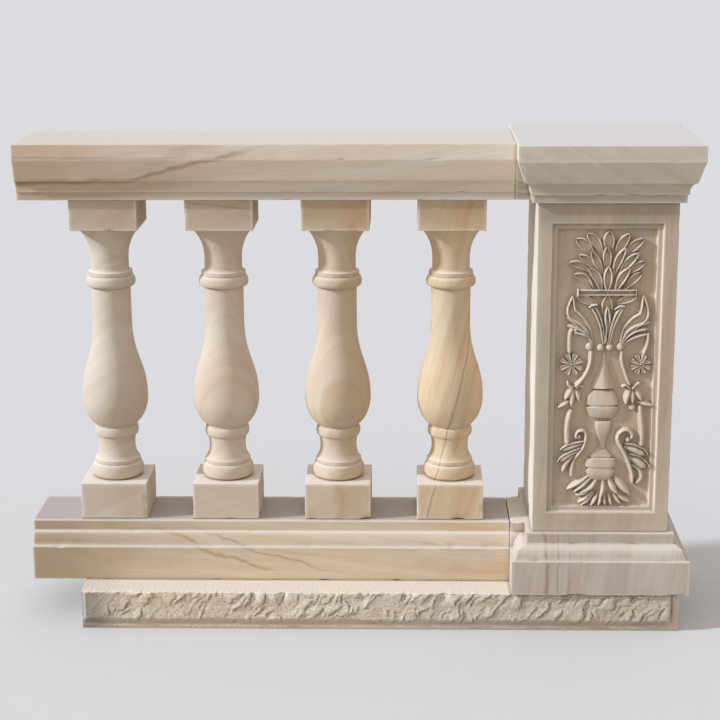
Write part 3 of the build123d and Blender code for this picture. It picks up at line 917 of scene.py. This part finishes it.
cuts = {        # outline, section and rise along the length, then the width of the raised rim
    "leaf": (leafWidth, hollowSection, leafClimb, 4.4), "frond": (leafWidth, hollowSection, lobeClimb, 4.4),
    "blade": (bladeWidth, hollowSection, lobeClimb, 5.6), "petal": (petalWidth, cupSection, stemClimb, 0),
    "tongue": (leafWidth, ridgeSection, leafClimb, 0), "pad": (bladeWidth, ridgeSection, lobeClimb, 0),
    "lobe": (lobeWidth, ridgeSection, lobeClimb, 0), "stem": (stemWidth, ridgeSection, stemClimb, 0),
    "band": (lambda share: 1.0, hollowSection, stemClimb, 4.2),
}


def addRibbon(bm, kind, rise, points, halfWidth, form):     # one leaf, lobe or stem, laid along a line
    widthOf, sectionOf, climbOf, rimWidth = cuts[kind]
    line = smoothLine(points, 12)
    length = sum((end - start).length for start, end in zip(line, line[1:]))
    strip = bmesh.new()
    bmesh.ops.create_grid(strip, x_segments=max(10, round(length / form["cell"])),
                          y_segments=form["across"], size=0.5)
    for vert in strip.verts:
        share = min(1.0, max(0.0, vert.co.x + 0.5))
        off = math.sin(math.pi * vert.co.y)     # closer together towards the rims
        spot = share * (len(line) - 1)
        first = min(int(spot), len(line) - 2)
        centre = line[first].lerp(line[first + 1], spot - first)
        heading = (line[first + 1] - line[first]).normalized()
        beside = Vector((-heading.y, heading.x))
        place = centre + beside * off * halfWidth * widthOf(share)
        rim = min(1.0, rimWidth / max(0.1, halfWidth * widthOf(share)))
        height = rise * climbOf(share) * sectionOf(off, rim)
        vert.co = Vector((place.x * mm, -(form["ground"] + height) * mm, (form["middle"] + place.y) * mm))
    for vert in extrudeFaces(strip, strip.faces[:]):
        vert.co.y = -(form["ground"] - form["sink"]) * mm
    pourInto(bm, strip)


def addBead(bm, x, z, width, height, rise, form):
    bead = bmesh.new()
    bmesh.ops.create_uvsphere(bead, u_segments=24, v_segments=14, radius=1.0)
    bmesh.ops.scale(bead, verts=bead.verts, vec=(width * mm, rise * mm, height * mm))
    bmesh.ops.translate(bead, verts=bead.verts, vec=(x * mm, -form["ground"] * mm, (form["middle"] + z) * mm))
    pourInto(bm, bead)


def addVessel(bm, axis, fullness, lift, outline, form):     # vase part: turned, then squared and flattened
    vessel = bmesh.new()
    widest = max(x for x, z in outline)
    points = [(0, outline[0][1])] + outline + [(0, outline[-1][1])]
    spinLine(vessel, [(x * mm, 0, (form["middle"] + z) * mm) for x, z in points], 0, form["vaseSteps"])
    for vert in vessel.verts:       # 1 stays round, less is flat in front, more runs to a ridge
        radius = math.hypot(vert.co.x, vert.co.y)
        if radius > 0.1 * mm:
            vert.co.x = math.copysign(radius * abs(vert.co.x / radius) ** fullness, vert.co.x)
            vert.co.y = math.copysign(radius * abs(vert.co.y / radius) ** fullness, vert.co.y)
            vert.co.y *= (widest * mm / radius) ** lift
    bmesh.ops.scale(vessel, verts=vessel.verts, vec=(1, form["vaseRise"] / widest, 1))
    bmesh.ops.translate(vessel, verts=vessel.verts, vec=(axis * mm, -form["ground"] * mm, 0))
    pourInto(bm, vessel)


def addFlower(bm, x, z, radius, form):      # round petals about a bead
    centre = Vector((x, z))
    for petal in range(form["petals"]):
        angle = math.tau * (petal + 0.5) / form["petals"]
        outward = Vector((math.cos(angle), math.sin(angle)))
        line = [centre + outward * radius * share for share in (0.1, 0.55, 1.04)]   # heart to rim
        addRibbon(bm, "petal", form["petalRise"], line, radius * form["petalShare"], form)
    addBead(bm, x, z, 4.5, 4.5, form["heartRise"], form)


def buildCarving(form, chiselWear):
    bm = newStone()
    for kind, rise, leaves in form["groups"]:
        for halfWidth, *points in leaves:
            addRibbon(bm, kind, rise, points, halfWidth, form)
    for x, z, width, height in form["beads"]:
        addBead(bm, x, z, width, height, form["beadRise"], form)
    for x, z, radius in form["flowers"]:
        addFlower(bm, x, z, radius, form)
    for axis, fullness, lift, outline in form["vase"]:
        addVessel(bm, axis, fullness, lift, outline, form)
    bmesh.ops.recalc_face_normals(bm, faces=bm.faces)
    wearStone(bm, chiselWear, seed=50)
    return bm


# painted highlight: the crests are drawn paler; painted shade: the corners are drawn darker
carvedStone = makeSandstone("carvedReliefSandstone", dict(
    pierStone, base="#cfbda2", pale="#d7c8b0", warm="#c6af90", bedTilt=(5, 84, 0), dustAndTopLight=0.4, cornerShade=0.6,
    cornerShadeReach=9, crest={"from": 142, "to": 147.5, "amount": 0.45, "colour": "#f3e9d8"}))
for name, turnRound in (("panelCarvingFront", 0.0), ("panelCarvingBack", math.pi)):
    bm = buildCarving(carvingForm, {"hollow": 1.1, "hollowSize": 9})     # left uneven by the chisel
    bmesh.ops.rotate(bm, verts=bm.verts, cent=(0, 0, 0), matrix=Matrix.Rotation(turnRound, 3, "Z"))
    bmesh.ops.translate(bm, verts=bm.verts, vec=(pierX, 0, 0))
    finishPiece(bm, name, carvedStone, crease=50)


# floor, light and world

stageForm = {
    "floor": 120,       # metres from side to side
    "floorColour": "#dbdad7", "floorBounce": "#a8a39c", "sky": 0.65, "skyColour": "#f8f5f6",
    "suns": {       # strength, colour, spread in degrees, and where it comes from
        "keySun": (3.1, "#e4eeff", 3, (-1, -0.24, 0.53)), "fillSun": (0.3, "#fff8ef", 80, (-0.7, -1, 0.7)),
    },
}

bm = bmesh.new()
bmesh.ops.create_grid(bm, x_segments=1, y_segments=1, size=stageForm["floor"] / 2)
floorMesh = bpy.data.meshes.new("paleFloor")
bm.to_mesh(floorMesh)
bm.free()
floor = addObject("paleFloor", floorMesh)
floorPaint = bpy.data.materials.new("palePaintedFloor")     # flat studio paint, matt
floorPaint.use_nodes = True
tree = floorPaint.node_tree
tree.nodes.clear()
rays = addNode(tree, "LightPath").outputs       # pale where it is seen, darker in the light it throws back
seen = addNode(tree, "Math", [rays["Is Camera Ray"], rays["Is Glossy Ray"]], operation="ADD")
seen = addNode(tree, "Math", [seen, rays["Is Transmission Ray"]], operation="ADD", use_clamp=True)
shown = addNode(tree, "Mix", {
    0: seen, 6: toLinear(stageForm["floorBounce"]), 7: toLinear(stageForm["floorColour"]),
}, data_type="RGBA")
paint = addNode(tree, "BsdfPrincipled", {
    "Base Color": shown.outputs[2], "Roughness": 0.95, "Specular IOR Level": 0.1})
addNode(tree, "OutputMaterial", {"Surface": paint})
floorMesh.materials.append(floorPaint)

for name, (strength, colour, spread, source) in stageForm["suns"].items():
    sunData = bpy.data.lights.new(name, "SUN")
    sunData.energy = strength
    sunData.angle = math.radians(spread)
    sunData.color = toLinear(colour)[:3]
    sun = addObject(name, sunData)
    sun.rotation_mode = "QUATERNION"
    sun.rotation_quaternion = Vector(source).to_track_quat("Z", "Y")

world = bpy.data.worlds.new("paleSky")
bpy.context.scene.world = world
world.use_nodes = True
world.node_tree.nodes.clear()
sky = addNode(world.node_tree, "Background", {
    "Color": toLinear(stageForm["skyColour"]), "Strength": stageForm["sky"]})
addNode(world.node_tree, "OutputWorld", {"Surface": sky})
bpy.context.scene.view_settings.view_transform = "Standard"
print("floor and light placed")
